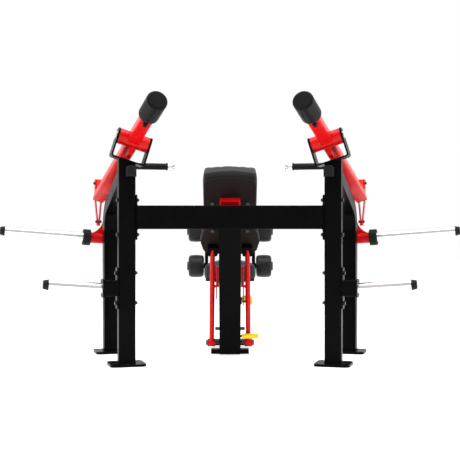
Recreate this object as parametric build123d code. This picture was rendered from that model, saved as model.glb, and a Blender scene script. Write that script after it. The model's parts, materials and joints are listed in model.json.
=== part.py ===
"""Plate-loaded shoulder press machine, in millimetres, +Z up, +Y towards the front.

The seated user faces +Y.  The origin is on the floor, under the middle of the machine.
Everything on the right (+X) side is modelled once and mirrored to the left.
"""
from build123d import *
import math
import os

# ---- driving dimensions -------------------------------------------------------------
SIDE_YAW = 15.5                 # side frames splay outwards towards the front, degrees
SIDE_X = 487.0                  # centre of a rear upright
UPRIGHT_WIDTH = 80.0
UPRIGHT_DEPTH = 50.0
LEG_DEPTH = 60.0
LEG_SPACING = 490.0             # rear upright to front leg, along the side frame
LEG_BEND_Z = 728.0
LEG_TOP_Z = 888.0
LEG_BEND_RADIUS = 130.0
WALL = 4.0
BASE_PLATE = (168.0, 150.0, 12.0)

BEAM_HEIGHT = 111.0
BEAM_DEPTH = 56.0
BEAM_Z = 694.5
FLANGE = (8.0, 50.0, 212.0)
BEAM_BOLT_Z = (613.0, 776.0)

PIVOT_TILT = 17.5               # pivot axis, outer end up, degrees
YOKE_WIDTH = 166.0
YOKE_BAR = 8.0
YOKE_DEPTH = 80.0
YOKE_HEIGHT = 142.0
PIVOT_HEIGHT = 106.0            # pivot axis above the underside of the yoke
UPRIGHT_TOP_Z = 955.5

PIVOT_TUBE_RADIUS = 37.0
PIVOT_TUBE_LENGTH = 146.0
SHAFT_RADIUS = 15.0
BEARING_RADIUS = 26.0
BEARING_LENGTH = 24.0
RUNNING_CLEARANCE = 0.05

ARM_DROOP = 23.0                # arm below its own horizontal at rest, degrees
ARM_SECTION = 60.0
ARM_REAR = -250.0
ARM_FRONT = 652.0
WEIGHT_RADIUS = 48.0
WEIGHT_LENGTH = 142.0

HORN_RADIUS = 25.0
HORN_LENGTH = 400.0
HORN_TILT = 4.5
HORN_Z = 590.0
HORN_B = 590.0                  # forward place of the horn, in the side frame
SPIGOT_RADIUS = 24.5            # the part of a horn that sits inside its holder
CAP_LENGTH = 25.0
STORE_GAP = 5.0                 # neck between the bracket's face and the storage horn
STORE_HORN_LENGTH = 241.0
STORE_HORN_Z = 363.0
STORE_PLATE = 8.0
STORE_BOLT_Z = (292.0, 433.0)

SPINE_WIDTH = 108.0
SPINE_DEPTH = 100.0
SPINE_LEAN = 25.0
SPINE_TOP = (103.0, 727.0)      # Y, Z on the centre line of the spine, beside the beam
SPINE_END_Y = 905.0

LEVER_X = (95.0, 92.0, 86.5)    # outward place of a rod at its foot, bend and head
LEVER_RADIUS = 12.5
LEVER_PIVOT = (430.0, 56.0)     # Y, Z of the low shaft
LEVER_BEND = (352.0, 163.0)
LEVER_TOP = (262.0, 546.0)      # Y, Z of the blocks that carry the back rest
HUB = (75.0, 116.0)             # inner and outer face of a lever hub
LOW_SHAFT_RADIUS = 11.0
PIN_RADIUS = 6.0
PIN_TRAVEL = 8.0
BACK_PIN = (356.0, 272.0)       # Y, Z of the pin that locks the back rest
LOCK_PIN = (366.0, 96.0)
BACK_TILT = 10.0                # forward swing of the back rest, degrees
BACK_STEPS = (0.0, 5.0, 10.0)   # places where its pin can lock the back rest, degrees
INDEX_PLATE = (65.0, 70.0)      # inner and outer face of an index plate
EAR = (54.0, 60.0)              # inner and outer face of the drilled ear on the spine
STOP_PIN = (338.0, 137.0)
STOP_PIN_RADIUS = 8.0

PAD_FOOT = (311.6, 515.0)       # Y, Z of the lower rear edge of the back board
BOARD_TOP = 411.0               # length of the board along its slope
BOARD_THICKNESS = 15.0
CUSHION_THICKNESS = 94.0

SEAT_Y = (492.0, 822.0)
SEAT_HALF_WIDTH = 136.0
SEAT_FRONT_HALF = 96.0
SEAT_TOP_Z = 462.0
SEAT_PAD = 80.0
SEAT_POST_Y = 660.0
SEAT_TRAVEL = 80.0

ROLLER_Y = 862.0
ROLLER_RADIUS = 62.0
ROLLER_LENGTH = 85.0
ROLLER_INNER_X = 146.0
ROLLER_Z = (433.0, 631.0)
AXLE_RADIUS = 12.0

HALF_ARM = ARM_SECTION / 2
LINK_LUG = 12.0
HANDLE_S = 250.0                # place of the handle along the arm
HANDLE_DROP = 12.0
HANDLE_RADIUS = 12.5
GRIP_RADIUS = 17.0
GRIP = (62.0, 242.0)
HANDLE_LENGTH = 263.0
DROP_A = (-36.0, 16.0)          # inner and outer face of the drop tube
DROP_B = (564.0, 616.0)
DROP_Z = (556.0, 846.0)
STUB_LENGTH = 79.0
STUB_RADIUS = 28.0
RING = (42.0, 40.0)             # stop ring radius and length

LINK_PLACE = (46.0, 645.0, 884.0)       # bolt of the link, in the side frame

FOOT_X = 97.0

BRACKET = (50.0, 48.0, 30.0, 306.0)     # half width, depth, low and high end along the slope
SCREW_X = 87.0
SCREW_S = (127.0, 275.0)

BACK_PIN_TIP = EAR[1] + 1
BACK_KNOB_X = INDEX_PLATE[1] + PIN_TRAVEL + 1
LOCK_PIN_TIP = SPINE_WIDTH / 2 - 14

SOCKET_HALF = 35.0
SOCKET_TOP_Z = 300.0
POST_HALF = 29.5
SEAT_PIN_Z = 262.0
SEAT_HOLES = 4
NOSE_LENGTH = 22.0
BOARD_TOP_Z = SEAT_TOP_Z - SEAT_PAD

POST_X = 40.0
POST_DEPTH = 30.0
SIDE_PLATE = (122.0, 140.0)
CAP_RADIUS = 24.0
CORE_RADIUS = AXLE_RADIUS + 0.08

os.makedirs("parts", exist_ok=True)


# ---- small helpers ------------------------------------------------------------------
def block(x, y, z):
    """A box from three (low, high) pairs."""
    size = (x[1] - x[0], y[1] - y[0], z[1] - z[0])
    centre = (sum(x) / 2, sum(y) / 2, sum(z) / 2)
    return Pos(*centre) * Box(*size)


def rod(start, end, radius, inner=0.0):
    """A round bar between two points, or a tube if it has an inner radius."""
    along = Vector(*end) - Vector(*start)
    plane = Plane(origin=start, z_dir=along)
    bar = extrude(plane * Circle(radius), along.length)
    if inner:
        bar -= extrude(plane * Circle(inner), along.length)
    return bar


def plate(outline, plane, thickness):
    """A flat plate of a closed outline, half of its thickness each side of the plane."""
    face = make_face(Polyline(*outline, close=True))
    return extrude(plane * face, thickness / 2, both=True)


def hex_bolt(start, end, radius=6.0, head=9.5, head_length=8.0, nut_length=12.0):
    """A bolt through a joint: hexagon head outside start, dome nut outside end."""
    along = (Vector(*end) - Vector(*start)).normalized()
    plane = Plane(origin=start, z_dir=along)
    shank = rod(start, end, radius)
    bolt_head = extrude(plane * RegularPolygon(head, 6), -head_length)
    far = Plane(origin=end, z_dir=along)
    nut = extrude(far * RegularPolygon(head, 6), nut_length * 0.55)
    dome = extrude(far * Circle(head * 0.72), nut_length)
    return shank + bolt_head + nut + dome


def along_side(a, b, z):
    """A point given outward, forward and up in the right side frame."""
    return side * Pos(a, b, z)


side = Pos(SIDE_X, 0, 0) * Rot(0, 0, -SIDE_YAW)
tilt_shift = PIVOT_HEIGHT * math.sin(math.radians(PIVOT_TILT))
tilt_rise = PIVOT_HEIGHT * math.cos(math.radians(PIVOT_TILT))
pivot = side * Pos(-tilt_shift, 0, UPRIGHT_TOP_Z + tilt_rise) * Rot(0, -PIVOT_TILT, 0)
arm = pivot * Rot(-ARM_DROOP, 0, 0)      # local Y runs along the arm towards the front
pivot_point = pivot.position
pivot_axis = Plane(pivot).x_dir

nodes = {}


def keep(name, shape):
    """Store a node of the middle of the machine."""
    nodes[name] = shape


def keep_pair(name, shape):
    """Store a right-hand node and its mirror image on the left."""
    nodes[name + "_right"] = shape
    nodes[name + "_left"] = mirror(shape, about=Plane.YZ)


def keep_both(name, *shapes):
    """Store fixed right-hand pieces and their mirror images as one node."""
    mirrored = [mirror(shape, about=Plane.YZ) for shape in shapes]
    nodes[name] = Compound(children=list(shapes) + mirrored)


# ---- side frames --------------------------------------------------------------------
def base_plate(b):
    corner = 22.0
    flat = RectangleRounded(BASE_PLATE[0], BASE_PLATE[1], corner)
    plate_solid = extrude(flat, BASE_PLATE[2])
    for sx in (-1, 1):
        for sy in (-1, 1):
            hole = Pos(sx * 66, sy * 57, 0) * Cylinder(7, 40)
            plate_solid -= hole
    return Pos(0, b, 0) * plate_solid


def rear_upright():
    half = UPRIGHT_WIDTH / 2
    deep = UPRIGHT_DEPTH / 2
    outer = block((-half, half), (-deep, deep), (BASE_PLATE[2], UPRIGHT_TOP_Z + 60))
    outer = fillet(outer.edges().filter_by(Axis.Z), 6)
    inner = block((-half + WALL, half - WALL), (-deep + WALL, deep - WALL),
                  (BASE_PLATE[2] + 6, UPRIGHT_TOP_Z + 60))
    tube = side * (outer - inner)
    above_yoke = pivot * block((-200, 200), (-200, 200), (-PIVOT_HEIGHT, 100))
    return tube - above_yoke + side * base_plate(0)


def leg_section(width, depth):
    return Plane(origin=(0, LEG_SPACING, BASE_PLATE[2]), z_dir=(0, 0, 1)) * Rectangle(width, depth)


def front_leg():
    foot = (0, LEG_SPACING, BASE_PLATE[2])
    bend = (0, LEG_SPACING, LEG_BEND_Z)
    top = (0, 0, LEG_TOP_Z)
    path = FilletPolyline(foot, bend, top, radius=LEG_BEND_RADIUS)
    tube = sweep(leg_section(UPRIGHT_WIDTH, LEG_DEPTH), path)
    hollow = sweep(leg_section(UPRIGHT_WIDTH - 2 * WALL, LEG_DEPTH - 2 * WALL), path)
    rear = block((-60, 60), (-100, UPRIGHT_DEPTH / 2), (700, 1000))
    return side * (tube - hollow - rear + base_plate(LEG_SPACING))


def yoke():
    half = YOKE_WIDTH / 2
    inner = half - YOKE_BAR
    low = -PIVOT_HEIGHT
    outer = block((-half, half), (-YOKE_DEPTH / 2, YOKE_DEPTH / 2), (low, low + YOKE_HEIGHT))
    bottom = outer.edges().filter_by(Axis.Y).sort_by(Axis.Z)[:2]
    outer = fillet(bottom, 14)
    gap = block((-inner, inner), (-100, 100), (low + YOKE_BAR, low + YOKE_HEIGHT + 50))
    gap = fillet(gap.edges().filter_by(Axis.Y).sort_by(Axis.Z)[:2], 6)
    bent = outer - gap
    top_corners = bent.edges().filter_by(Axis.X).sort_by(Axis.Z)[-4:]
    bent = fillet(top_corners, 24)
    bore = Rot(0, 90, 0) * Cylinder(SHAFT_RADIUS, YOKE_WIDTH + 20)
    return pivot * (bent - bore)


def pivot_shaft():
    half = YOKE_WIDTH / 2
    shaft = rod((-half, 0, 0), (half, 0, 0), SHAFT_RADIUS)
    for s in (-1, 1):
        shaft += rod((s * half, 0, 0), (s * (half + 3), 0, 0), 20)
    return pivot * shaft


def arm_bumper():
    face = -UPRIGHT_DEPTH / 2
    buffer = block((-40, 8), (face - 30, face), (884, 938))
    buffer = fillet(buffer.edges().filter_by(Axis.Y).sort_by(Axis.Z)[-2:], 16)
    nose = buffer.faces().sort_by(Axis.Y)[0]
    return side * fillet(nose.edges(), 10)


keep_pair("front_leg", front_leg())
keep_both("yokes", yoke())
keep_both("pivot_shafts", pivot_shaft())
keep_both("arm_bumpers", arm_bumper())


# ---- crossbeam ----------------------------------------------------------------------
def crossbeam():
    """A box tube whose ends are cut to the splay of the side frames."""
    half = BEAM_HEIGHT / 2
    deep = BEAM_DEPTH / 2
    tube = block((-520, 520), (-deep, deep), (BEAM_Z - half, BEAM_Z + half))
    tube = fillet(tube.edges().filter_by(Axis.X), 6)
    tube -= block((-520, 520), (-deep + WALL, deep - WALL), (BEAM_Z - half + WALL, BEAM_Z + half - WALL))
    end = -UPRIGHT_WIDTH / 2 - FLANGE[0]
    beyond = side * block((end, 300), (-300, 300), (500, 900))
    return tube - beyond - mirror(beyond, about=Plane.YZ)


def beam_flange():
    face = -UPRIGHT_WIDTH / 2
    deep = FLANGE[1] / 2
    low = (BEAM_BOLT_Z[0] + BEAM_BOLT_Z[1]) / 2 - FLANGE[2] / 2
    flat = block((face - FLANGE[0], face), (-deep, deep), (low, low + FLANGE[2]))
    window = block((face - 50, face + 50), (-deep + 8, deep - 8), (BEAM_Z - 30, BEAM_Z + 30))
    return side * (fillet(flat.edges().filter_by(Axis.X), 8) - window)


def through_bolts(heights, outer_face, inner_face):
    """Bolts across a rear upright, with heads outside and dome nuts inside."""
    return [side * hex_bolt((outer_face, 0, z), (inner_face, 0, z)) for z in heights]


def without(solid, tools):
    """A solid with every one of the tools cut out of it."""
    for tool in tools:
        solid = solid - tool
    return solid


outer_face = UPRIGHT_WIDTH / 2
beam_bolts = through_bolts(BEAM_BOLT_Z, outer_face, -outer_face - FLANGE[0])
store_bolts = through_bolts(STORE_BOLT_Z, outer_face + STORE_PLATE, -outer_face)
side_bolts = beam_bolts + store_bolts
flange = without(beam_flange(), beam_bolts)
keep("crossbeam", crossbeam() + flange + mirror(flange, about=Plane.YZ))
keep_pair("rear_upright", without(rear_upright(), side_bolts))
keep_both("frame_bolts", *side_bolts)


# ---- storage horns on the rear uprights ------------------------------------------------
def storage_bracket():
    face = UPRIGHT_WIDTH / 2
    low = STORE_BOLT_Z[0] - 26
    high = STORE_BOLT_Z[1] + 26
    back = block((face, face + STORE_PLATE), (-25, 25), (low, high))
    back = fillet(back.edges().filter_by(Axis.X), 8)
    z = STORE_HORN_Z
    body = block((face + STORE_PLATE, face + 66), (-36, 36), (z - 37, z + 37))
    body = fillet(body.edges().filter_by(Axis.X), 10)
    collar = block((face + 66, face + 76), (-41, 41), (z - 42, z + 42))
    collar = fillet(collar.edges().filter_by(Axis.X), 12)
    return side * (back + body + collar)


def tapered_cap(start, along, radius, length):
    """The rubber end cap of a horn: a short cone with a rounded nose."""
    end = start + along * length
    plane = Plane(origin=start, z_dir=along)
    far = Plane(origin=end, z_dir=along)
    return loft([plane * Circle(radius), far * Circle(radius * 0.8)])


def horn_direction():
    tilt = math.radians(HORN_TILT)
    outward = Plane(side).x_dir
    return outward * math.cos(tilt) + Vector(0, 0, math.sin(tilt))


horn_along = horn_direction()
store_face = along_side(UPRIGHT_WIDTH / 2 + 76, 0, STORE_HORN_Z).position
store_start = store_face + horn_along * STORE_GAP
store_end = store_start + horn_along * STORE_HORN_LENGTH
store_spigot = rod(store_face - horn_along * 40, store_start, SPIGOT_RADIUS)
store_horn = store_spigot + rod(store_start, store_end, HORN_RADIUS)
keep_both("storage_brackets", without(storage_bracket(), store_bolts + [store_horn]))
keep_both("storage_horns", store_horn)
keep_both("storage_horn_caps", tapered_cap(store_end, horn_along, HORN_RADIUS, CAP_LENGTH))


# ---- press arms ---------------------------------------------------------------------


def arm_body():
    """The arm tube, its pivot tube, the rib below it and the drop tube, welded."""
    tube = block((-HALF_ARM, HALF_ARM), (ARM_REAR, ARM_FRONT), (-HALF_ARM, HALF_ARM))
    tube = fillet(tube.edges().filter_by(Axis.Y), 8)
    inner = HALF_ARM - WALL
    hollow = block((-inner, inner), (ARM_REAR, ARM_FRONT), (-inner, inner))
    half = PIVOT_TUBE_LENGTH / 2
    barrel = rod((-half, 0, 0), (half, 0, 0), PIVOT_TUBE_RADIUS)
    rib = plate([(-14, -30), (-12, -84), (22, -84), (64, -42), (150, -24)], Plane.YZ, 20)
    seat = rod((-half, 0, 0), (-half + BEARING_LENGTH, 0, 0), BEARING_RADIUS)
    far_seat = rod((half - BEARING_LENGTH, 0, 0), (half, 0, 0), BEARING_RADIUS)
    channel = rod((-half, 0, 0), (half, 0, 0), SHAFT_RADIUS + 4)
    body = tube - hollow + barrel + rib - seat - far_seat - channel
    drop = block(DROP_A, DROP_B, DROP_Z)
    drop = fillet(drop.edges().filter_by(Axis.Z), 6)
    return arm * body + (side * drop - arm * tube) + link_lug()


def bearing(low):
    ring = rod((low, 0, 0), (low + BEARING_LENGTH, 0, 0), BEARING_RADIUS)
    ring -= rod((low, 0, 0), (low + BEARING_LENGTH, 0, 0), SHAFT_RADIUS + RUNNING_CLEARANCE)
    return arm * ring


def counterweight():
    weight = rod((0, ARM_REAR - WEIGHT_LENGTH, 0), (0, ARM_REAR, 0), WEIGHT_RADIUS)
    return arm * fillet(weight.edges().filter_by(GeomType.CIRCLE), 10)


def set_bolt():
    """The bolt on the underside of the arm that locks the counterweight's spigot."""
    shank = rod((0, ARM_REAR + 28, -HALF_ARM), (0, ARM_REAR + 28, -HALF_ARM - 6), 11)
    face = Plane(origin=(0, ARM_REAR + 28, -HALF_ARM - 6), z_dir=(0, 0, -1))
    return arm * (shank + extrude(face * RegularPolygon(10, 6), 9))


def end_plug():
    inner = HALF_ARM - WALL
    spigot = block((-inner, inner), (ARM_FRONT - 20, ARM_FRONT), (-inner, inner))
    lid = block((-HALF_ARM, HALF_ARM), (ARM_FRONT, ARM_FRONT + 5), (-HALF_ARM, HALF_ARM))
    lid = fillet(lid.edges().filter_by(Axis.Y), 8)
    return arm * (spigot + lid)


handle_start = arm * Pos(0, HANDLE_S, 0)
handle_point = handle_start.position - Vector(0, 0, HANDLE_DROP)
handle = Pos(*handle_point) * Rot(0, 0, -SIDE_YAW)     # local X points outwards


def handle_bar():
    bar = rod((-20, 0, 0), (-HANDLE_LENGTH, 0, 0), HANDLE_RADIUS)
    washer = rod((-HANDLE_LENGTH, 0, 0), (-HANDLE_LENGTH - 14, 0, 0), 25)
    washer = fillet(washer.edges().filter_by(GeomType.CIRCLE), 3)
    return handle * (bar + washer)


def handle_grip():
    inner = HANDLE_RADIUS
    sleeve = rod((-GRIP[0], 0, 0), (-GRIP[1], 0, 0), GRIP_RADIUS, inner)
    return handle * sleeve


def horn_carrier():
    """Flange plate, stub tube and the curved web above it, at the foot of the drop tube."""
    face = DROP_A[1]
    flange = block((face, face + 11), (558, 622), (561, 672))
    flange = fillet(flange.edges().filter_by(Axis.X), 10)
    root = (face + 8, HORN_B, HORN_Z)
    web_plane = Plane(origin=root, x_dir=(1, 0, 0), z_dir=(0, -1, 0))
    top = (2, 103)
    tip = (STUB_LENGTH - 2, 28)
    curve = ThreePointArc(top, (26, 52), tip)
    web = make_face(curve + Polyline(tip, (STUB_LENGTH - 2, 10), (2, 10), top))
    return side * (flange + extrude(web_plane * web, 5, both=True))


horn_root = (side * Pos(DROP_A[1] + 11, HORN_B, HORN_Z)).position
stub_end = horn_root + horn_along * (STUB_LENGTH - 11)
ring_end = stub_end + horn_along * RING[1]
horn_end = stub_end + horn_along * (HORN_LENGTH + RING[1])


def stop_ring():
    ring = rod(stub_end, ring_end, RING[0])
    ring = fillet(ring.edges().filter_by(GeomType.CIRCLE), 5)
    return ring - rod(stub_end, ring_end, SPIGOT_RADIUS)


link = side * Pos(*LINK_PLACE)


def link_lug():
    """The lug at the front end of the arm that the link plates hang from."""
    outline = [(-78, -42), (-52, 16), (-6, 22), (14, 14), (20, 0), (12, -18), (-30, -52)]
    return link * plate(outline, Plane.YZ, 2 * LINK_LUG) - arm * block(
        (-HALF_ARM, HALF_ARM), (0, ARM_FRONT + 6), (-HALF_ARM, HALF_ARM))


def link_cheek(s):
    """One of the two flat bars that hang from the lug and meet at their lower bolt."""
    outline = [(12, 20), (18, 20), (18, -95), (7, -212), (7, -226), (1, -226), (1, -212), (12, -95)]
    outline = [(s * x, z) for x, z in outline]
    bar = plate(outline, Plane(origin=(0, 0, 0), x_dir=(1, 0, 0), z_dir=(0, -1, 0)), 40)
    return bar


def link_bolt(z, reach):
    """A bolt across both cheeks, with its nut outside and its head inside."""
    return link * hex_bolt((-reach, 0, z), (reach, 0, z), 5, 8, 10, 8)


link_bolts = [link_bolt(0, 18), link_bolt(-205, 7.5)]
bar_solid = handle_bar()
arm_solid = without(arm_body(), link_bolts + [bar_solid, end_plug()])
stub = rod(horn_root - horn_along * 3, stub_end, STUB_RADIUS)
horn_spigot = rod(horn_root, ring_end, SPIGOT_RADIUS)
carrier = horn_carrier() + stub - side * block(DROP_A, DROP_B, DROP_Z)
keep_pair("press_arm", arm_solid)
keep_pair("link_plates", without(link * (link_cheek(1) + link_cheek(-1)), link_bolts))
inner_bearing = bearing(-PIVOT_TUBE_LENGTH / 2)
outer_bearing = bearing(PIVOT_TUBE_LENGTH / 2 - BEARING_LENGTH)
keep_pair("arm_bearings", Compound(children=[inner_bearing, outer_bearing]))
keep_pair("counterweight", counterweight())
keep_pair("arm_bolts", Compound(children=link_bolts + [set_bolt()]))
keep_pair("arm_end_plug", end_plug())
keep_pair("handle_bar", bar_solid)
keep_pair("handle_grip", handle_grip())
keep_pair("horn_carrier", carrier - horn_spigot)
keep_pair("weight_horn", horn_spigot + rod(ring_end, horn_end, HORN_RADIUS))
horn_cap = tapered_cap(horn_end, horn_along, HORN_RADIUS, CAP_LENGTH)
keep_pair("horn_rubbers", Compound(children=[stop_ring(), horn_cap]))


# ---- spine and floor ------------------------------------------------------------------
lean = math.radians(SPINE_LEAN)


def spine_form(shrink):
    """The leaning column and the floor run as one mitred bar, made smaller all round."""
    half = (SPINE_DEPTH / 2 - shrink) / math.cos(lean)
    low = shrink
    high = SPINE_DEPTH - shrink
    top = BEAM_Z + 45

    def centre(z):
        return SPINE_TOP[0] + (SPINE_TOP[1] - z) * math.tan(lean)

    outline = [(centre(top) - half, top), (centre(low) - half, low), (SPINE_END_Y, low),
               (SPINE_END_Y, high), (centre(high) + half, high), (centre(top) + half, top)]
    return plate(outline, Plane.YZ, SPINE_WIDTH - 2 * shrink)


def spine():
    """The spine tube, cut upright behind the beam and drilled for its pins and shaft."""
    tube = spine_form(0)
    for face in (tube.faces().sort_by(Axis.X)[0], tube.faces().sort_by(Axis.X)[-1]):
        tube = fillet(face.edges(), 6)
    solid = tube - spine_form(WALL) + spine_ear()
    solid -= block((-100, 100), (-200, BEAM_DEPTH / 2), (400, 1000))
    solid -= cross_bar(LEVER_PIVOT, LOW_SHAFT_RADIUS, 200)
    solid -= cross_bar(STOP_PIN, STOP_PIN_RADIUS, 200)
    for turn in BACK_STEPS:
        y, z = swung(BACK_PIN, turn)
        solid -= rod((0, y, z), (200, y, z), PIN_RADIUS + 0.5)
    return solid - rod((0, *LOCK_PIN), (200, *LOCK_PIN), PIN_RADIUS + 0.5)


def spine_ear():
    """The small sector on the right of the spine whose holes take the back rest's pin."""
    outline = [(340, 262), (350, 258), (385, 264), (408, 272), (408, 290), (396, 294), (370, 290), (340, 286)]
    return plate(outline, Plane.YZ.offset((EAR[0] + EAR[1]) / 2), EAR[1] - EAR[0])


def cross_bar(place, radius, length):
    """A round bar across the machine at a (Y, Z) place."""
    return rod((-length / 2, *place), (length / 2, *place), radius)


def swung(place, degrees):
    """A (Y, Z) place after the back rest has swung forward about its low shaft."""
    turn = math.radians(degrees)
    y = place[0] - LEVER_PIVOT[0]
    z = place[1] - LEVER_PIVOT[1]
    new_y = LEVER_PIVOT[0] + y * math.cos(turn) + z * math.sin(turn)
    new_z = LEVER_PIVOT[1] + z * math.cos(turn) - y * math.sin(turn)
    return new_y, new_z


def spine_stub():
    """The short box that joins the spine to the front face of the beam."""
    stub = block((-45, 45), (BEAM_DEPTH / 2, 110), (BEAM_Z - 45, BEAM_Z + 45))
    return stub - spine_form(1)


def foot_blocks(low, high):
    half = SPINE_WIDTH / 2
    left = block((-FOOT_X, -half), (low, high), (0, 24))
    right = block((half, FOOT_X), (low, high), (0, 24))
    pair = [fillet(foot.edges().filter_by(Axis.Z), 6) for foot in (left, right)]
    return pair


keep("spine", spine() + spine_stub())
keep("spine_feet", Compound(children=foot_blocks(408, 468) + foot_blocks(830, 890)))


# ---- back rest ------------------------------------------------------------------------
slope = Plane(origin=(0, *PAD_FOOT), x_dir=(-1, 0, 0), z_dir=(0, math.cos(lean), math.sin(lean)))


def pad_outline(grow, top):
    """Back board outline: rounded foot, wide hips, narrow waist and a crowned head."""
    half = [(112 + grow, 0 - grow), (134 + grow, 22), (148 + grow, 67), (118 + grow, 165),
            (126 + grow, 268), (127 + grow, top - 14)]
    head = ThreePointArc(half[-1], (0, top), (-half[-1][0], half[-1][1]))
    right = Polyline(*half)
    left = Polyline(*[(-x, y) for x, y in half])
    foot = Line(half[0], (-half[0][0], half[0][1]))
    face = make_face(right + head + left + foot)
    for low, high, radius in ((60, 70, 26), (160, 170, 90), (top - 20, top - 8, 34)):
        corners = [v for v in face.vertices() if low < v.Y < high and abs(v.X) > 50]
        face = fillet(corners, radius)
    return face


def back_board():
    board = extrude(slope * pad_outline(0, BOARD_TOP), BOARD_THICKNESS)
    for screw in board_screws():
        board -= screw
    return board


def back_cushion():
    start = slope.offset(BOARD_THICKNESS)
    cushion = extrude(start * pad_outline(5, BOARD_TOP + 24), CUSHION_THICKNESS)
    front = cushion.faces().sort_by(Axis(slope.origin, slope.z_dir))[-1]
    return fillet(front.edges(), 20)


def board_screws():
    screws = []
    for x in (-SCREW_X, SCREW_X):
        for s in SCREW_S:
            at = slope * Pos(x, s, 0)
            shank = extrude(at * Circle(4), BOARD_THICKNESS)
            head = extrude(at * Circle(9), -5)
            screws.append(shank + head)
    return screws


def back_bracket():
    """The red box tube that carries the board and rests against the spine."""
    half, depth, low, high = BRACKET
    tube = slope * block((-half, half), (low, high), (-depth, 0))
    long_edges = tube.edges().filter_by(lambda e: abs(e.length - (high - low)) < 1)
    return fillet(long_edges, 6)


def lever_rod(s):
    """One bent rod with the hub at its foot."""
    foot = (s * LEVER_X[0], *LEVER_PIVOT)
    bend = (s * LEVER_X[1], *LEVER_BEND)
    top = (s * LEVER_X[2], *LEVER_TOP)
    path = FilletPolyline(foot, bend, top, radius=160)
    start = path @ 0
    section = Plane(origin=start, z_dir=path % 0) * Circle(LEVER_RADIUS)
    bar = sweep(section, path)
    hub = rod((s * HUB[0], *LEVER_PIVOT), (s * HUB[1], *LEVER_PIVOT), 20)
    hub = fillet(hub.edges().filter_by(GeomType.CIRCLE), 3)
    bore = cross_bar(LEVER_PIVOT, LOW_SHAFT_RADIUS + RUNNING_CLEARANCE, 400)
    return bar + hub - bore


def lever_block(s):
    """The black block that clamps the head of a rod to the back board."""
    at = slope * Pos(-s * LEVER_X[2], 32, 0)
    body = at * block((-25, 25), (-24, 24), (-46, 0))
    body = fillet(body.edges().filter_by(lambda e: abs(e.length - 46) < 0.5), 10)
    return body - lever_rod(s)


def index_plate(s):
    """The flat plate beside the spine that turns with the lever; the right one carries the pin."""
    foot = [(340, 300), (334, 286), (318, 286)]
    if s > 0:
        foot = [(330, 330), (372, 292), (372, 262), (362, 256), (340, 256)]
    outline = [(272, 456), (304, 456), (330, 372)] + foot + [(290, 330)]
    low, high = INDEX_PLATE
    face = plate(outline, Plane.YZ.offset(s * (low + high) / 2), high - low)
    inner = low - 9.5
    doubler = plate([(276, 452), (300, 452), (324, 372), (318, 349), (296, 349)],
                    Plane.YZ.offset(s * (low + inner) / 2), low - inner)
    spacers = [rod((s * high, *at), (s * LEVER_X[2], *at), 7) for at in ((287, 440), (308, 352))]
    holed = face + doubler + spacers[0] + spacers[1] - lever_rod(s)
    return holed - rod((0, *BACK_PIN), (s * 200, *BACK_PIN), PIN_RADIUS + 0.1)


def low_shaft():
    shaft = cross_bar(LEVER_PIVOT, LOW_SHAFT_RADIUS, 2 * HUB[1] + 8)
    for s in (-1, 1):
        collar = rod((s * SPINE_WIDTH / 2, *LEVER_PIVOT), (s * (HUB[0] - 0.5), *LEVER_PIVOT), 15)
        cap = rod((s * (HUB[1] + 1), *LEVER_PIVOT), (s * (HUB[1] + 7), *LEVER_PIVOT), 14)
        shaft += collar + cap
    return shaft


screws = board_screws()
keep("back_board", back_board())
keep("back_cushion", back_cushion())
keep("back_bracket", back_bracket())
keep("back_screws", Compound(children=screws))
keep("lever_rods", Compound(children=[lever_rod(1), lever_rod(-1)]))
keep("lever_blocks", Compound(children=[lever_block(1), lever_block(-1)]))
keep("index_plates", Compound(children=[index_plate(1), index_plate(-1)]))
keep("low_shaft", low_shaft())
keep("stop_pin", cross_bar(STOP_PIN, STOP_PIN_RADIUS, 150))


# ---- pull pins --------------------------------------------------------------------------


def back_pin():
    return rod((BACK_PIN_TIP, *BACK_PIN), (BACK_KNOB_X + 26, *BACK_PIN), PIN_RADIUS)


def back_pin_knob():
    """The wedge-shaped pull handle on the pin that locks the back rest."""
    y, z = BACK_PIN
    x = BACK_KNOB_X
    outline = [(x, z - 12), (x, z + 9), (x + 26, z + 30), (x + 35, z + 14)]
    outline += [(x + 35, z - 10), (x + 26, z - 16)]
    flat = plate(outline, Plane(origin=(0, y, 0), x_dir=(1, 0, 0), z_dir=(0, -1, 0)), 22)
    return flat - back_pin()


def lock_pin():
    return rod((LOCK_PIN_TIP, *LOCK_PIN), (100, *LOCK_PIN), PIN_RADIUS)


def lock_grip():
    inner = SPINE_WIDTH / 2 + 6
    grip = rod((inner, *LOCK_PIN), (inner + 85, *LOCK_PIN), 14)
    grip = fillet(grip.edges().filter_by(GeomType.CIRCLE), 5)
    return grip - lock_pin()


keep("back_pin", back_pin())
keep("back_pin_knob", back_pin_knob())
keep("lock_pin", lock_pin())
keep("lock_grip", lock_grip())


# ---- seat -------------------------------------------------------------------------------
seat_board_z = BOARD_TOP_Z - BOARD_THICKNESS


def seat_face(grow, radius):
    """The seat outline: straight rear edge, sides that taper to a rounded front."""
    rear, front = SEAT_Y
    shoulder = rear + 120
    wide = SEAT_HALF_WIDTH + grow
    narrow = SEAT_FRONT_HALF + grow
    half = [(wide, rear - grow), (wide, shoulder), (narrow, front + grow)]
    left = [(-x, y) for x, y in reversed(half)]
    face = make_face(Polyline(*half, *left, close=True))
    return fillet(face.vertices(), radius)


def seat_cushion():
    pad = extrude(Pos(0, 0, BOARD_TOP_Z) * seat_face(0, 30), SEAT_PAD)
    top = pad.faces().sort_by(Axis.Z)[-1]
    return fillet(top.edges(), 20)


def seat_board():
    return extrude(Pos(0, 0, seat_board_z) * seat_face(-8, 26), BOARD_THICKNESS)


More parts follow.
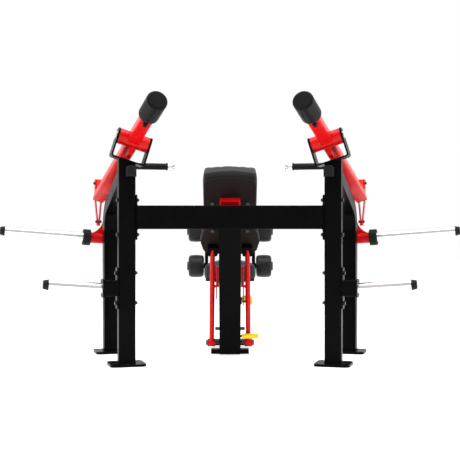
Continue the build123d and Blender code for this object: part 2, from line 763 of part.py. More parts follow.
def seat_socket():
    """The square socket welded on the floor run, with a nose for the seat pin."""
    low = SPINE_DEPTH
    y = SEAT_POST_Y
    tube = block((-SOCKET_HALF, SOCKET_HALF), (y - SOCKET_HALF, y + SOCKET_HALF), (low, SOCKET_TOP_Z))
    tube = fillet(tube.edges().filter_by(Axis.Z), 6)
    bore = POST_HALF + 0.5
    tube -= block((-bore, bore), (y - bore, y + bore), (low, SOCKET_TOP_Z))
    nose = rod((SOCKET_HALF, y, SEAT_PIN_Z), (SOCKET_HALF + NOSE_LENGTH, y, SEAT_PIN_Z), 14)
    hole = rod((0, y, SEAT_PIN_Z), (SOCKET_HALF + 30, y, SEAT_PIN_Z), PIN_RADIUS + 0.1)
    return tube + nose - hole


def seat_post():
    """The square post, drilled for the pin, with the cross plates under the seat."""
    y = SEAT_POST_Y
    low = SPINE_DEPTH + 12
    top = seat_board_z
    post = block((-POST_HALF, POST_HALF), (y - POST_HALF, y + POST_HALF), (low, top - 8))
    for step in range(SEAT_HOLES):
        z = SEAT_PIN_Z - step * SEAT_TRAVEL / (SEAT_HOLES - 1)
        post -= rod((0, y, z), (100, y, z), PIN_RADIUS + 0.4)
    head = block((-80, 80), (y - 110, y + 110), (top - 8, top))
    rib = block((-4, 4), (y - 90, y + 90), (top - 50, top - 8))
    return post + fillet(head.edges().filter_by(Axis.Z), 15) + rib


def seat_pin():
    y = SEAT_POST_Y
    start = POST_HALF + 1.5
    head = SOCKET_HALF + NOSE_LENGTH + PIN_TRAVEL + 1
    pin = rod((start, y, SEAT_PIN_Z), (head + 20, y, SEAT_PIN_Z), PIN_RADIUS)
    knob = rod((head, y, SEAT_PIN_Z), (head + 32, y, SEAT_PIN_Z), 19)
    knob = fillet(knob.edges().filter_by(GeomType.CIRCLE), 6)
    return pin + knob


keep("seat_cushion", seat_cushion())
keep("seat_board", seat_board())
keep("seat_post", seat_post())
keep("seat_socket", seat_socket())
keep("seat_pin", seat_pin())


# ---- leg rollers ------------------------------------------------------------------------


def front_post():
    """The post at the end of the floor run that holds the roller frame."""
    post = block((-POST_X, POST_X), (ROLLER_Y - POST_DEPTH, ROLLER_Y + POST_DEPTH), (SPINE_DEPTH, 668))
    post = fillet(post.edges().filter_by(Axis.Z), 6)
    return post - roller_axle(ROLLER_Z[0]) - roller_axle(ROLLER_Z[1])


def roller_axle(z):
    reach = ROLLER_INNER_X + ROLLER_LENGTH + 2
    return rod((-reach, ROLLER_Y, z), (reach, ROLLER_Y, z), AXLE_RADIUS)


def roller_frame():
    """Two axles through the post, tied by a flat bar on each side, with end washers."""
    solids = [roller_axle(z) for z in ROLLER_Z]
    frame = solids[0] + solids[1]
    reach = ROLLER_INNER_X + ROLLER_LENGTH + 2
    for s in (-1, 1):
        x = sorted((s * SIDE_PLATE[0], s * SIDE_PLATE[1]))
        bar = block(x, (ROLLER_Y - 25, ROLLER_Y + 25), (ROLLER_Z[0] - 28, ROLLER_Z[1] + 28))
        frame += fillet(bar.edges().filter_by(Axis.X), 22)
        for z in ROLLER_Z:
            frame += rod((s * reach, ROLLER_Y, z), (s * (reach + 6), ROLLER_Y, z), CAP_RADIUS)
            frame += rod((s * SIDE_PLATE[1], ROLLER_Y, z), (s * (ROLLER_INNER_X - 2), ROLLER_Y, z), 20)
    return frame


def foam_roller(s, z):
    low = s * ROLLER_INNER_X
    high = s * (ROLLER_INNER_X + ROLLER_LENGTH)
    foam = rod((low, ROLLER_Y, z), (high, ROLLER_Y, z), ROLLER_RADIUS)
    foam = chamfer(foam.edges().filter_by(GeomType.CIRCLE), 14)
    return foam - rod((low, ROLLER_Y, z), (high, ROLLER_Y, z), CORE_RADIUS)


keep("front_post", front_post())
keep("roller_frame", roller_frame())
for level, height in zip(("lower", "upper"), ROLLER_Z):
    keep(f"foam_roller_{level}_right", foam_roller(1, height))
    keep(f"foam_roller_{level}_left", foam_roller(-1, height))


# ---- finish ---------------------------------------------------------------------------
boxes = [shape.bounding_box() for shape in nodes.values()]
centre_y = (min(box.min.Y for box in boxes) + max(box.max.Y for box in boxes)) / 2
base_z = min(box.min.Z for box in boxes)
for name, shape in nodes.items():
    export_step(Pos(0, -centre_y, -base_z) * shape, f"parts/{name}.step")
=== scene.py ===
"""Looks of the shoulder press machine: materials, padding, rubber and studio, in metres."""
import json
import math

import bmesh
import bpy
import numpy as np
from mathutils import Matrix, Vector


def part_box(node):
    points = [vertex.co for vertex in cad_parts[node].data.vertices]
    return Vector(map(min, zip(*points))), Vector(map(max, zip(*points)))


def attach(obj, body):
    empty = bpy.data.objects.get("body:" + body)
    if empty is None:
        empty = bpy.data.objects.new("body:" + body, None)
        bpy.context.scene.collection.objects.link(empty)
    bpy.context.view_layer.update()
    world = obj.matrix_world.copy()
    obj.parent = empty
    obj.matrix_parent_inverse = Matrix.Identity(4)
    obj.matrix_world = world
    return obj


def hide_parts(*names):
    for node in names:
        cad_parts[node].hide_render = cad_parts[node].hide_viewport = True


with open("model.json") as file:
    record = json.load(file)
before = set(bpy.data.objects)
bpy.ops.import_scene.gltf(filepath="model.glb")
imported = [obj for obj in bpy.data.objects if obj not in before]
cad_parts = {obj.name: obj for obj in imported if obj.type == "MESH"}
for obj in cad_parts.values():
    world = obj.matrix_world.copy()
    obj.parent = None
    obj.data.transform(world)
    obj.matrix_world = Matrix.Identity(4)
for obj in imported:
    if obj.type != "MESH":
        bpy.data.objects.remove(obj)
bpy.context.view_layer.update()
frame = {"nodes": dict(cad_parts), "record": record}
nodes = frame["nodes"]

# ---- driving values -------------------------------------------------------------------
VOXEL = 0.005                 # remesh size of the padding
PRESSURE = 4.0
SIM_FRAMES = 20
CAMERA_BACK = 4.5             # distance of the camera behind the rear uprights
CAMERA_HEIGHT = 0.635
LENS = 74.9
LEAN = math.radians(25.0)     # slope of the back rest
SPLAY = math.radians(15.5)    # splay of the side frames
BOARD = 0.015                 # thickness of the boards under the padding
CUSHION = 0.094
SEAT_PAD = 0.080
SLACK = 0.002                 # room that the padding leaves inside its solid before it swells
ROLL_EDGE = 0.017             # rolled edge of a foam roller
BEAD = 0.0032                 # radius of a weld bead
RIPPLE = 0.0028               # spacing of its ripples
BEAD_STEP = 0.0011            # spacing of the points along a bead
FOOT_TOP = 0.012              # top of a base plate
TUBE_HALF = 0.040             # half width of the upright and leg tubes
UPRIGHT_HALF_DEPTH = 0.025
LEG_FORWARD = (0.460, 0.520)  # rear and front face of a front leg, along the side frame
FLANGE_FACE = -0.048          # inner face of the beam's end flange, in the side frame
BEAM_HALF_DEPTH = 0.028
BEAM_SPAN = (0.639, 0.750)    # underside and top of the crossbeam


# ---- materials --------------------------------------------------------------------------
def make_material(name):
    """A new node material: (material, nodes, links, principled shader)."""
    mat = bpy.data.materials.new(name)
    mat.use_nodes = True
    tree = mat.node_tree
    return mat, tree.nodes, tree.links, tree.nodes["Principled BSDF"]


def add(nt, kind, **values):
    node = nt.new(kind)
    for key, value in values.items():
        if key in node.inputs:
            node.inputs[key].default_value = value
        else:
            setattr(node, key, value)
    return node


def noise(nt, links, coord, scale, detail=4.0, roughness=0.55, stretch=None):
    """Noise of a given scale per metre, stretched along an axis if asked."""
    source = coord
    if stretch:
        mapping = nt.new("ShaderNodeMapping")
        mapping.inputs["Scale"].default_value = stretch
        links.new(coord, mapping.inputs["Vector"])
        source = mapping.outputs["Vector"]
    node = nt.new("ShaderNodeTexNoise")
    node.inputs["Scale"].default_value = scale
    node.inputs["Detail"].default_value = detail
    node.inputs["Roughness"].default_value = roughness
    links.new(source, node.inputs["Vector"])
    return node.outputs["Fac"]


def ramp(nt, links, fac, stops):
    """A colour ramp from (position, colour) stops; a colour may be a single grey."""
    node = nt.new("ShaderNodeValToRGB")
    elements = node.color_ramp.elements
    while len(elements) < len(stops):
        elements.new(0.5)
    for element, (place, colour) in zip(elements, stops):
        grey = not hasattr(colour, "__len__")
        element.position = place
        element.color = (colour, colour, colour, 1) if grey else (*colour, 1)
    links.new(fac, node.inputs["Fac"])
    return node.outputs["Color"]


def bump(nt, links, height, strength, distance, normal=None):
    node = nt.new("ShaderNodeBump")
    node.inputs["Strength"].default_value = strength
    node.inputs["Distance"].default_value = distance
    links.new(height, node.inputs["Height"])
    if normal is not None:
        links.new(normal, node.inputs["Normal"])
    return node.outputs["Normal"]


def coordinates(nt):
    return nt.new("ShaderNodeTexCoord").outputs["Object"]


def painted(name, dark, light, rough, coat, peel, wear=0.0, wear_colour=(0.25, 0.25, 0.26),
            shine=0.5):
    """Sprayed paint: faint cloudy colour, orange peel, rubbed edges and a clear coat."""
    mat, nt, links, shader = make_material(name)
    coord = coordinates(nt)
    cloud = noise(nt, links, coord, 9.0, 3.0)
    colour = ramp(nt, links, cloud, [(0.3, dark), (0.75, light)])
    if wear:
        bevel = nt.new("ShaderNodeBevel")
        bevel.inputs["Radius"].default_value = 0.003
        geometry = nt.new("ShaderNodeNewGeometry")
        dot = add(nt, "ShaderNodeVectorMath", operation="DOT_PRODUCT")
        links.new(bevel.outputs["Normal"], dot.inputs[0])
        links.new(geometry.outputs["Normal"], dot.inputs[1])
        edge = ramp(nt, links, dot.outputs["Value"], [(0.80, 1.0), (0.97, 0.0)])
        chips = ramp(nt, links, noise(nt, links, coord, 55.0, 6.0, 0.7), [(0.55, 0.0), (0.68, wear)])
        both = add(nt, "ShaderNodeMath", operation="MULTIPLY")
        links.new(edge, both.inputs[0])
        links.new(chips, both.inputs[1])
        mix = add(nt, "ShaderNodeMix", data_type="RGBA")
        links.new(both.outputs[0], mix.inputs["Factor"])
        links.new(colour, mix.inputs["A"])
        mix.inputs["B"].default_value = (*wear_colour, 1)
        colour = mix.outputs["Result"]
    links.new(colour, shader.inputs["Base Color"])
    smudge = noise(nt, links, coord, 4.0, 5.0, 0.65)
    links.new(ramp(nt, links, smudge, [(0.3, rough * 0.8), (0.8, rough * 1.35)]), shader.inputs["Roughness"])
    fine = noise(nt, links, coord, 420.0, 2.0)
    broad = noise(nt, links, coord, 60.0, 2.0)
    normal = bump(nt, links, fine, peel, 0.0004)
    normal = bump(nt, links, broad, peel * 0.5, 0.0006, normal)
    links.new(normal, shader.inputs["Normal"])
    shader.inputs["Coat Weight"].default_value = coat
    shader.inputs["Specular IOR Level"].default_value = shine
    shader.inputs["Coat Roughness"].default_value = 0.09
    return mat


def metal(name, dark, light, rough, stretch, strength):
    """Bare or plated metal with fine drawn lines and soft handling marks."""
    mat, nt, links, shader = make_material(name)
    coord = coordinates(nt)
    lines = noise(nt, links, coord, 260.0, 3.0, 0.6, stretch)
    marks = noise(nt, links, coord, 14.0, 6.0, 0.7)
    links.new(ramp(nt, links, marks, [(0.3, dark), (0.7, light)]), shader.inputs["Base Color"])
    total = add(nt, "ShaderNodeMath", operation="MULTIPLY_ADD")
    links.new(marks, total.inputs[0])
    total.inputs[1].default_value = rough * 0.8
    total.inputs[2].default_value = rough * 0.6
    links.new(total.outputs[0], shader.inputs["Roughness"])
    links.new(bump(nt, links, lines, strength, 0.0002), shader.inputs["Normal"])
    shader.inputs["Metallic"].default_value = 1.0
    return mat


def rubber(name, dark, light, rough, grain, depth):
    """Moulded rubber or plastic with a fine matte grain and a little dust."""
    mat, nt, links, shader = make_material(name)
    coord = coordinates(nt)
    dust = noise(nt, links, coord, 18.0, 5.0, 0.65)
    links.new(ramp(nt, links, dust, [(0.35, dark), (0.8, light)]), shader.inputs["Base Color"])
    links.new(ramp(nt, links, dust, [(0.3, rough * 0.85), (0.8, min(1.0, rough * 1.2))]),
              shader.inputs["Roughness"])
    height = noise(nt, links, coord, grain, 3.0, 0.6)
    links.new(bump(nt, links, height, 0.35, depth), shader.inputs["Normal"])
    shader.inputs["Specular IOR Level"].default_value = 0.2
    return mat


def vinyl(name, dark, light, rough, grain=430.0, depth=0.00035):
    """Upholstery vinyl: pebbled grain, soft creases, faint sheen and rubbed patches."""
    mat, nt, links, shader = make_material(name)
    coord = coordinates(nt)
    cells = nt.new("ShaderNodeTexVoronoi")
    cells.feature = "SMOOTH_F1"
    cells.inputs["Scale"].default_value = grain
    cells.inputs["Randomness"].default_value = 0.9
    links.new(coord, cells.inputs["Vector"])
    creases = noise(nt, links, coord, 24.0, 7.0, 0.6)
    patches = noise(nt, links, coord, 7.0, 4.0, 0.6)
    links.new(ramp(nt, links, patches, [(0.3, dark), (0.75, light)]), shader.inputs["Base Color"])
    links.new(ramp(nt, links, patches, [(0.3, rough * 0.9), (0.8, rough * 1.15)]), shader.inputs["Roughness"])
    normal = bump(nt, links, cells.outputs["Distance"], 0.5, depth)
    normal = bump(nt, links, creases, 0.25, 0.0015, normal)
    links.new(normal, shader.inputs["Normal"])
    shader.inputs["Sheen Weight"].default_value = 0.04
    shader.inputs["Sheen Roughness"].default_value = 0.4
    shader.inputs["Specular IOR Level"].default_value = 0.28
    return mat


MATERIALS = {
    "frame_black": painted("black_powder_coat", (0.0014, 0.0014, 0.0015), (0.0026, 0.0026, 0.0028), 0.30,
                           0.01, 0.08, 0.5, shine=0.03),
    "frame_red": painted("red_gloss_paint", (0.56, 0.003, 0.004), (0.66, 0.005, 0.006), 0.30, 0.10, 0.04,
                         0.25, (0.35, 0.04, 0.04), shine=0.14),
    "weight_black": painted("black_casting_paint", (0.003, 0.003, 0.0032), (0.006, 0.006, 0.0064), 0.40,
                            0.01, 0.08, 0.3, shine=0.08),
    "chrome": metal("chrome_plate", (0.80, 0.795, 0.785), (0.88, 0.875, 0.865), 0.20, (1, 40, 40), 0.05),
    "bearing_steel": metal("ground_steel", (0.42, 0.42, 0.43), (0.56, 0.56, 0.57), 0.26, (1, 30, 30), 0.12),
    "black_bolts": metal("black_oxide", (0.035, 0.035, 0.037), (0.06, 0.06, 0.062), 0.34, (8, 8, 8), 0.15),
    "rubber_black": rubber("moulded_rubber", (0.003, 0.003, 0.0032), (0.006, 0.006, 0.0063), 0.62,
                           900.0, 0.0003),
    "plastic_black": rubber("textured_plastic", (0.007, 0.007, 0.0075), (0.011, 0.011, 0.012), 0.5,
                            700.0, 0.0002),
    "yellow_grip": rubber("yellow_plastic", (0.94, 0.70, 0.014), (0.97, 0.78, 0.024), 0.34, 520.0, 0.0001),
    "vinyl": vinyl("upholstery_vinyl", (0.014, 0.014, 0.0142), (0.022, 0.022, 0.0225), 0.46),
    # board backing: its brownish tint is painted reflection, the red bounce light from the nearby red frame
    # parts put into its base colour
    "board": rubber("board_backing_painted_red_bounce", (0.013, 0.0075, 0.006), (0.020, 0.012, 0.010), 0.72, 380.0, 0.0006),
    "foam": vinyl("roller_skin", (0.007, 0.007, 0.0073), (0.012, 0.012, 0.0125), 0.5, 620.0, 0.00025),
}

slots = {s["node"]: s["material_slot"] for s in frame["record"]["subparts"]}
for name, obj in nodes.items():
    obj.data.materials.clear()
    obj.data.materials.append(MATERIALS[slots[name]])


# ---- small mesh helpers --------------------------------------------------------------------
def finish_piece(obj, body, slot_name, replaced=()):
    """Give a new piece the material of its slot and its body, smooth its faces and hide the CAD nodes that it
    replaces.
    """
    obj.data.materials.clear()
    obj.data.materials.append(MATERIALS[slot_name])
    for poly in obj.data.polygons:
        poly.use_smooth = True
    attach(obj, body)
    if replaced:
        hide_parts(*replaced)


def mesh_object(name, verts, faces):
    mesh = bpy.data.meshes.new(name)
    mesh.from_pydata([tuple(v) for v in verts], [], faces)
    mesh.update()
    obj = bpy.data.objects.new(name, mesh)
    bpy.context.collection.objects.link(obj)
    bm = bmesh.new()
    bm.from_mesh(mesh)
    bmesh.ops.recalc_face_normals(bm, faces=bm.faces)
    bm.to_mesh(mesh)
    bm.free()
    return obj


def hollow_lathe(name, profile, origin, axis, steps=64):
    """A turned ring shape whose closed profile of (along, radius) never meets the axis."""
    axis = Vector(axis).normalized()
    side = axis.orthogonal().normalized()
    other = axis.cross(side)
    count = len(profile)
    verts = []
    for along, radius in profile:
        for k in range(steps):
            turn = 2 * math.pi * k / steps
            verts.append(Vector(origin) + axis * along
                         + (side * math.cos(turn) + other * math.sin(turn)) * radius)
    faces = []
    for i in range(count):
        j = (i + 1) % count
        for k in range(steps):
            n = (k + 1) % steps
            faces.append((i * steps + k, i * steps + n, j * steps + n, j * steps + k))
    return mesh_object(name, verts, faces)


def round_corner(centre, radius, start, end, steps=6):
    """Profile points on an arc about (along, radius) centre, angles in degrees."""
    points = []
    for i in range(steps + 1):
        a = math.radians(start + (end - start) * i / steps)
        points.append((centre[0] + radius * math.cos(a), centre[1] + radius * math.sin(a)))
    return points


# ---- studio ----------------------------------------------------------------------------
def mid(node):
    low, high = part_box(node)
    return (low + high) / 2


upright_y = mid("rear_upright_right").y
camera = bpy.data.objects.new("camera", bpy.data.cameras.new("camera"))
camera.location = (0, upright_y - CAMERA_BACK, CAMERA_HEIGHT)
camera.rotation_euler = (math.radians(90), 0, 0)
camera.data.lens = LENS
camera.data.sensor_width = 36
bpy.context.collection.objects.link(camera)
bpy.context.scene.camera = camera


def studio_floor():
    mesh = bpy.data.meshes.new("floor")
    s = 14.0
    mesh.from_pydata([(-s, -s, 0), (s, -s, 0), (s, s, 0), (-s, s, 0)], [], [(0, 1, 2, 3)])
    floor = bpy.data.objects.new("floor", mesh)
    floor.location.z = -0.001
    bpy.context.collection.objects.link(floor)
    mat, nt, links, shader = make_material("studio_floor")
    coord = coordinates(nt)
    tone = noise(nt, links, coord, 0.6, 3.0)
    links.new(ramp(nt, links, tone, [(0.3, 0.93), (0.7, 0.95)]), shader.inputs["Base Color"])
    shader.inputs["Roughness"].default_value = 0.9
    shader.inputs["Specular IOR Level"].default_value = 0.1
    shader.inputs["Emission Color"].default_value = (1, 1, 1, 1)
    shader.inputs["Emission Strength"].default_value = 0.32
    mesh.materials.append(mat)


def soft_box(name, place, aim, size, power):
    data = bpy.data.lights.new(name, "AREA")
    data.shape = "RECTANGLE"
    data.size, data.size_y = size
    data.energy = power
    lamp = bpy.data.objects.new(name, data)
    lamp.location = place
    lamp.rotation_euler = (Vector(aim) - Vector(place)).to_track_quat("-Z", "Y").to_euler()
    bpy.context.collection.objects.link(lamp)


def world_light():
    """A white studio round the machine that is dimmer on its rear side."""
    world = bpy.data.worlds.new("studio")
    bpy.context.scene.world = world
    world.use_nodes = True
    nt, links = world.node_tree.nodes, world.node_tree.links
    nt["Background"].inputs["Strength"].default_value = 1.0
    direction = nt.new("ShaderNodeTexCoord").outputs["Generated"]
    split = nt.new("ShaderNodeSeparateXYZ")
    links.new(direction, split.inputs[0])
    brightness = [(0.0, 0.62), (0.12, 0.66), (0.32, 0.78), (0.50, 0.90), (0.85, 1.0)]
    shade = ramp(nt, links, remap(nt, links, split.outputs["Y"]), brightness)
    links.new(shade, nt["Background"].inputs["Color"])


def remap(nt, links, value):
    node = nt.new("ShaderNodeMapRange")
    node.inputs["From Min"].default_value = -1.0
    links.new(value, node.inputs["Value"])
    return node.outputs["Result"]


studio_floor()
world_light()
soft_box("left", (-4.2, -1.4, 2.8), (0, 0, 0.6), (2.0, 2.4), 90)
soft_box("right", (4.2, -1.2, 2.6), (0, 0, 0.6), (2.0, 2.4), 80)
soft_box("top", (0, -0.6, 4.4), (0, 0, 0.5), (4.0, 2.6), 130)
bpy.context.scene.view_settings.view_transform = "Standard"


# ---- padding ---------------------------------------------------------------------------


def rounded(corners, steps=5):
    """A closed outline from (x, y, radius) corners, its corners turned into arcs."""
    points = []
    count = len(corners)
    for i, (x, y, radius) in enumerate(corners):
        here = Vector((x, y))
        before = (Vector(corners[i - 1][:2]) - here)
        after = (Vector(corners[(i + 1) % count][:2]) - here)
        if radius == 0:
            points.append(here)
            continue
        half = before.angle(after) / 2
        reach = min(radius / math.tan(half), before.length * 0.49, after.length * 0.49)
        start, end = here + before.normalized() * reach, here + after.normalized() * reach
        for k in range(steps + 1):
            t = k / steps
            points.append(start * (1 - t) ** 2 + here * 2 * t * (1 - t) + end * t ** 2)
    return points


def inset(points, amount):
    """The outline moved inwards; the points run anticlockwise."""
    count = len(points)
    moved = []
    for i, here in enumerate(points):
        along = (points[(i + 1) % count] - points[i - 1]).normalized()
        moved.append(here + Vector((-along.y, along.x)) * amount)
    return moved


def pad_form(name, outline, layers):
    """A closed pad from (depth, inset) layers of one outline, in its own flat frame."""
    verts, faces = [], []
    count = len(outline)
    for depth, amount in layers:
        verts += [(p.x, p.y, depth) for p in inset(outline, amount)]
    for i in range(len(layers) - 1):
        for k in range(count):
            n = (k + 1) % count
            faces.append((i * count + k, i * count + n, (i + 1) * count + n, (i + 1) * count + k))
    faces.append(tuple(range(count))[::-1])
    faces.append(tuple((len(layers) - 1) * count + k for k in range(count)))
    return mesh_object(name, verts, faces)


def edge_layers(low, high, rear, front):
    """Layers of a pad with a small rear roll and a large front roll."""
    layers = [(low, rear)]
    for i in range(1, 4):
        a = math.radians(90 * i / 3)
        layers.append((low + rear * (1 - math.cos(a)), rear * (1 - math.sin(a))))
    for i in range(0, 6):
        a = math.radians(90 * i / 5)
        layers.append((high - front * (1 - math.sin(a)), front * (1 - math.cos(a))))
    return layers


def apply_modifiers(obj):
    """Keep the evaluated mesh and drop every modifier."""
    evaluated = obj.evaluated_get(bpy.context.evaluated_depsgraph_get())
    mesh = bpy.data.meshes.new_from_object(evaluated)
    obj.modifiers.clear()
    obj.data = mesh
    return obj


def coords(obj):
    flat = np.empty(len(obj.data.vertices) * 3)
    obj.data.vertices.foreach_get("co", flat)
    return flat.reshape(-1, 3)


def set_coords(obj, points):
    obj.data.vertices.foreach_set("co", points.reshape(-1))
    obj.data.update()


def remesh(obj, size):
    modifier = obj.modifiers.new("remesh", "REMESH")
    modifier.mode = "VOXEL"
    modifier.voxel_size = size
    return apply_modifiers(obj)


def prepare_cloth(obj, pinned_depth):
    """Cloth that swells under pressure, held where it is glued down to its board."""
    group = obj.vertex_groups.new(name="glued")
    rest = coords(obj)
    group.add([int(i) for i in np.nonzero(rest[:, 2] < pinned_depth)[0]], 1.0, "REPLACE")
    cloth = obj.modifiers.new("cloth", "CLOTH")
    settings = cloth.settings
    settings.quality = 5
    settings.mass = 0.35
    settings.tension_stiffness = settings.compression_stiffness = 12
    settings.shear_stiffness = 8
    settings.bending_stiffness = 4
    settings.use_pressure = True
    settings.uniform_pressure_force = PRESSURE
    settings.vertex_group_mass = "glued"
    settings.effector_weights.gravity = 0
    cloth.collision_settings.use_collision = False
    cloth.point_cache.frame_start = 1
    cloth.point_cache.frame_end = SIM_FRAMES
    return rest


def swell(pads, cap):
    """Run the cloth of all pads together, then keep each result within its cap."""
    rests = [prepare_cloth(obj, depth) for obj, depth in pads]
    for step in range(1, SIM_FRAMES + 1):
        bpy.context.scene.frame_set(step)
    for (obj, _), rest in zip(pads, rests):
        apply_modifiers(obj)
        moved = coords(obj) - rest
        length = np.linalg.norm(moved, axis=1, keepdims=True)
        set_coords(obj, rest + moved * np.minimum(1.0, cap / np.maximum(length, 1e-9)))
        obj.vertex_groups.clear()
    bpy.context.scene.frame_set(1)


def subdivide(obj):
    modifier = obj.modifiers.new("smooth", "SUBSURF")
    modifier.levels = modifier.render_levels = 1
    return apply_modifiers(obj)


def sew(obj, seams, depth, width, pucker):
    """Press seam grooves round the side of a pad at the given depths, with small puckers."""
    points = coords(obj)
    count = len(points)
    normals = np.empty(count * 3)
    obj.data.vertices.foreach_get("normal", normals)
    normals = normals.reshape(-1, 3)
    sideways = np.clip(1.6 * np.hypot(normals[:, 0], normals[:, 1]) - 0.35, 0, 1)
    push = np.zeros(count)
    for seam in seams:
        away = points[:, 2] - seam
        push -= depth * np.exp(-(away / width) ** 2) * sideways
        near = np.exp(-(away / (width * 4)) ** 2) * sideways
        run = points[:, 0] * 410 + points[:, 1] * 370
        push += pucker * near * np.sin(run) * np.cos(run * 0.37 + seam * 90)
    set_coords(obj, points + normals * push[:, None])


def place(obj, matrix):
    obj.data.transform(matrix)
    if matrix.determinant() < 0:
        obj.data.flip_normals()
    obj.data.update()


def frame_matrix(origin, x_axis, y_axis, z_axis):
    matrix = Matrix.Identity(4)
    for i, column in enumerate((x_axis, y_axis, z_axis, origin)):
        for row in range(3):
            matrix[row][i] = column[row]
    return matrix


def crown(half_width, shoulder, top, steps=9):
    """Points of the arc over the head of the back pad, from right to left."""
    rise = top - shoulder
    radius = (half_width ** 2 + rise ** 2) / (2 * rise)
    reach = math.asin(half_width / radius)
    arc = []
    for k in range(1, steps):
        a = reach - 2 * reach * k / steps
        arc.append((radius * math.sin(a), top - radius * (1 - math.cos(a)), 0))
    return arc


def back_outline(grow, top):
    half_width, shoulder = 0.127, top - 0.014
    half = [(0.112, 0, 0.01), (0.134, 0.022, 0.02), (0.148, 0.067, 0.026), (0.118, 0.165, 0.09),
            (0.126, 0.268, 0.05), (half_width, shoulder, 0.034)]
    right = [(x + grow, y - (grow if y == 0 else 0), r) for x, y, r in half]
    left = [(-x, y, r) for x, y, r in reversed(right)]
    return rounded(right + crown(half_width + grow, shoulder, top) + left)


def seat_outline(rear, front, shoulder, wide, narrow, radius):
    right = [(wide, rear, radius), (wide, shoulder, radius * 3), (narrow, front, radius)]
    return rounded(right + [(-x, y, r) for x, y, r in reversed(right)], 8)


board_low, board_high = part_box("back_board")
foot = Vector((0, board_high.y - BOARD * math.cos(LEAN), board_low.z))
slope_up = Vector((0, -math.sin(LEAN), math.cos(LEAN)))
slope_out = Vector((0, math.cos(LEAN), math.sin(LEAN)))
slope = frame_matrix(foot, Vector((-1, 0, 0)), slope_up, slope_out)
board_length = (board_high.z - board_low.z - BOARD * math.sin(LEAN)) / math.cos(LEAN)

back_pad = pad_form("back_pad", back_outline(0.005 - SLACK, board_length + 0.033 - SLACK),
                    edge_layers(BOARD + 0.0005, BOARD + CUSHION - SLACK * 1.5, 0.008, 0.014))
seat_low, seat_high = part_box("seat_cushion")
seat_middle = (seat_low.y + seat_high.y) / 2
seat_half = (seat_high.y - seat_low.y) / 2
seat_wide = seat_high.x
seat_pad = pad_form(
    "seat_pad",
    seat_outline(-seat_half + SLACK, seat_half - SLACK, -seat_half + 0.12, seat_wide - SLACK,
                 seat_wide * 0.7 - SLACK, 0.03),
    edge_layers(0.0005, SEAT_PAD - SLACK * 1.5, 0.004, 0.022))
pads = [(back_pad, BOARD + 0.003), (seat_pad, 0.003)]
for pad, _ in pads:
    remesh(pad, VOXEL)
swell(pads, 0.010)
for pad, base, thickness in ((back_pad, BOARD, CUSHION), (seat_pad, 0.0, SEAT_PAD)):
    subdivide(pad)
    sew(pad, (base + 0.010, base + thickness - 0.024), 0.0016, 0.0022, 0.0005)
place(back_pad, slope)
place(seat_pad, Matrix.Translation((0, seat_middle, seat_low.z)))
finish_piece(back_pad, "back_rest", "vinyl", replaced=("back_cushion",))
finish_piece(seat_pad, "seat", "vinyl", replaced=("seat_cushion",))


# ---- foam rollers ------------------------------------------------------------------------


def roller_profile(length, radius, bore):
    """Half section of a foam sleeve: crowned barrel, rolled ends and a sunk middle."""
    shoulder = radius - ROLL_EDGE
    profile = [(0.004, bore), (0.004, bore + 0.006), (0.0015, bore + 0.012), (0.0, shoulder - 0.006)]
    profile += round_corner((ROLL_EDGE, shoulder), ROLL_EDGE, 180, 90, 8)
    for k in range(1, 12):
        t = k / 12
        along = ROLL_EDGE + (length - 2 * ROLL_EDGE) * t
        profile.append((along, radius + 0.0016 * math.sin(math.pi * t)))
    profile += round_corner((length - ROLL_EDGE, shoulder), ROLL_EDGE, 90, 0, 8)
    profile += [(length, shoulder - 0.006), (length - 0.0015, bore + 0.012), (length - 0.004, bore + 0.006),
                (length - 0.004, bore)]
    return profile


def gather(obj, axis_y, axis_z, ends):
    """Small radial puckers where the skin of a roller is drawn over its ends."""
    points = coords(obj)
    y, z = points[:, 1] - axis_y, points[:, 2] - axis_z
    r = np.hypot(y, z)
    turn = np.arctan2(z, y)
    near_end = np.exp(-(np.minimum(abs(points[:, 0] - ends[0]), abs(points[:, 0] - ends[1])) / 0.012) ** 2)
    fold = 0.0007 * near_end * np.clip((r - 0.02) / 0.02, 0, 1) * (
        np.sin(turn * 17 + 1.3) + 0.6 * np.sin(turn * 29 + 0.4))
    scale = 1 + fold / np.maximum(r, 1e-6)
    points[:, 1] = axis_y + y * scale
    points[:, 2] = axis_z + z * scale
    set_coords(obj, points)


for level in ("lower", "upper"):
    for hand in ("right", "left"):
        node = f"foam_roller_{level}_{hand}"
        low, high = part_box(node)
        centre = (low + high) / 2
        radius = (high.z - low.z) / 2
        roller = hollow_lathe(f"roller_sleeve_{level}_{hand}",
                              roller_profile(high.x - low.x, radius - 0.001, 0.0127),
                              (low.x, centre.y, centre.z), (1, 0, 0), 96)
        gather(roller, centre.y, centre.z, (low.x, high.x))
        finish_piece(roller, f"roller_{level}_{hand}", "foam", replaced=(node,))


# ---- grips -------------------------------------------------------------------------------
def side_axis(hand):
    """Outward direction of the right or left side frame."""
    mirror = 1 if hand == "right" else -1
    return Vector((mirror * math.cos(SPLAY), -math.sin(SPLAY), 0))


def grip_profile(length, radius, bore, pitch, relief, flange):
    """Half section of a sleeve with rolled flanges at both ends and ribs between them."""
    profile = [(0.0, bore), (0.0, radius + flange - 0.002)]
    profile += round_corner((0.002, radius + flange - 0.002), 0.002, 180, 90, 3)
    profile += [(0.006, radius + flange), (0.009, radius - relief)]
    ribs = int((length - 0.024) / pitch)
    for k in range(ribs * 6 + 1):
        t = k / (ribs * 6)
        wave = abs(math.sin(math.pi * t * ribs))
        profile.append((0.012 + (length - 0.024) * t, radius - relief * (1 - wave ** 0.5)))
    profile += [(length - 0.009, radius - relief), (length - 0.006, radius + flange)]
    profile += round_corner((length - 0.002, radius + flange - 0.002), 0.002, 90, 0, 3)
    profile += [(length, bore)]
    return profile


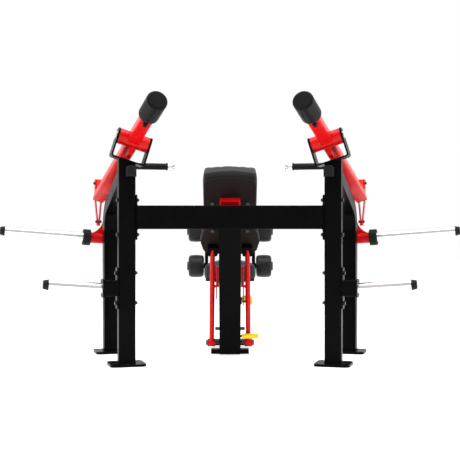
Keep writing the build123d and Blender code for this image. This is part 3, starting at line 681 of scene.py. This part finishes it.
for hand in ("right", "left"):
    node = f"handle_grip_{hand}"
    low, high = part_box(node)
    radius = (high.z - low.z) / 2
    length = (high.x - low.x - 2 * radius * math.sin(SPLAY)) / math.cos(SPLAY)
    axis = side_axis(hand)
    profile = grip_profile(length, radius - 0.0005, 0.0126, 0.006, 0.0011, 0.002)
    grip = hollow_lathe(f"ribbed_grip_{hand}", profile, (low + high) / 2 - axis * length / 2, axis, 72)
    finish_piece(grip, f"arm_{hand}", "rubber_black", replaced=(node,))

low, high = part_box("lock_grip")
centre = (low + high) / 2
profile = grip_profile(high.x - low.x, (high.z - low.z) / 2 - 0.0008, 0.00605, 0.011, 0.0018, 0.0008)
pull = hollow_lathe("ribbed_pull_grip", profile, (low.x, centre.y, centre.z), (1, 0, 0), 48)
finish_piece(pull, "shaft_lock", "yellow_grip", replaced=("lock_grip",))


# ---- weld beads ----------------------------------------------------------------------------


def bead_loop(corners):
    """Vertices and faces of one rippled bead along a closed loop of corner points."""
    points = []
    for i, start in enumerate(corners):
        end = corners[(i + 1) % len(corners)]
        steps = max(2, round((end - start).length / BEAD_STEP))
        points += [start.lerp(end, k / steps) for k in range(steps)]
    count, ring = len(points), 8
    verts, faces = [], []
    for i, here in enumerate(points):
        along = (points[(i + 2) % count] - points[i - 2]).normalized()
        across = along.orthogonal().normalized()
        other = along.cross(across)
        radius = BEAD * (1 + 0.14 * math.sin(2 * math.pi * i * BEAD_STEP / RIPPLE)
                         + 0.06 * math.sin(i * 0.173 + 1.0))
        for k in range(ring):
            a = 2 * math.pi * k / ring
            verts.append(here + (across * math.cos(a) + other * math.sin(a)) * radius)
    for i in range(count):
        j = (i + 1) % count
        for k in range(ring):
            n = (k + 1) % ring
            faces.append((i * ring + k, i * ring + n, j * ring + n, j * ring + k))
    return verts, faces


def beads(name, loops, body, slot_name):
    verts, faces = [], []
    for corners in loops:
        new_verts, new_faces = bead_loop(corners)
        start = len(verts)
        verts += new_verts
        faces += [tuple(i + start for i in face) for face in new_faces]
    finish_piece(mesh_object(name, verts, faces), body, slot_name)


def flip_x(point):
    return Vector((-point.x, point.y, point.z))


def side_point(a, b, z):
    """A point given outward, forward and up in the right side frame."""
    out, forward = side_axis("right"), Vector((math.sin(SPLAY), math.cos(SPLAY), 0))
    return Vector((mid("rear_upright_right").x, upright_y, 0)) + out * a + forward * b + Vector((0, 0, z))


def side_rectangle(a, b, z):
    return [side_point(x, y, z) for x, y in ((a[0], b[0]), (a[1], b[0]), (a[1], b[1]), (a[0], b[1]))]

tube = (-TUBE_HALF, TUBE_HALF)
upright = side_rectangle(tube, (-UPRIGHT_HALF_DEPTH, UPRIGHT_HALF_DEPTH), FOOT_TOP)
leg = side_rectangle(tube, LEG_FORWARD, FOOT_TOP)
beam_low, beam_high = BEAM_SPAN
beam_corners = ((-BEAM_HALF_DEPTH, beam_low), (BEAM_HALF_DEPTH, beam_low),
                (BEAM_HALF_DEPTH, beam_high), (-BEAM_HALF_DEPTH, beam_high))
flange = [side_point(FLANGE_FACE, y, z) for y, z in beam_corners]
joined = [upright, leg, flange]
beads("frame_welds", joined + [[flip_x(point) for point in loop] for loop in joined], "frame", "frame_black")


bpy.context.view_layer.update()
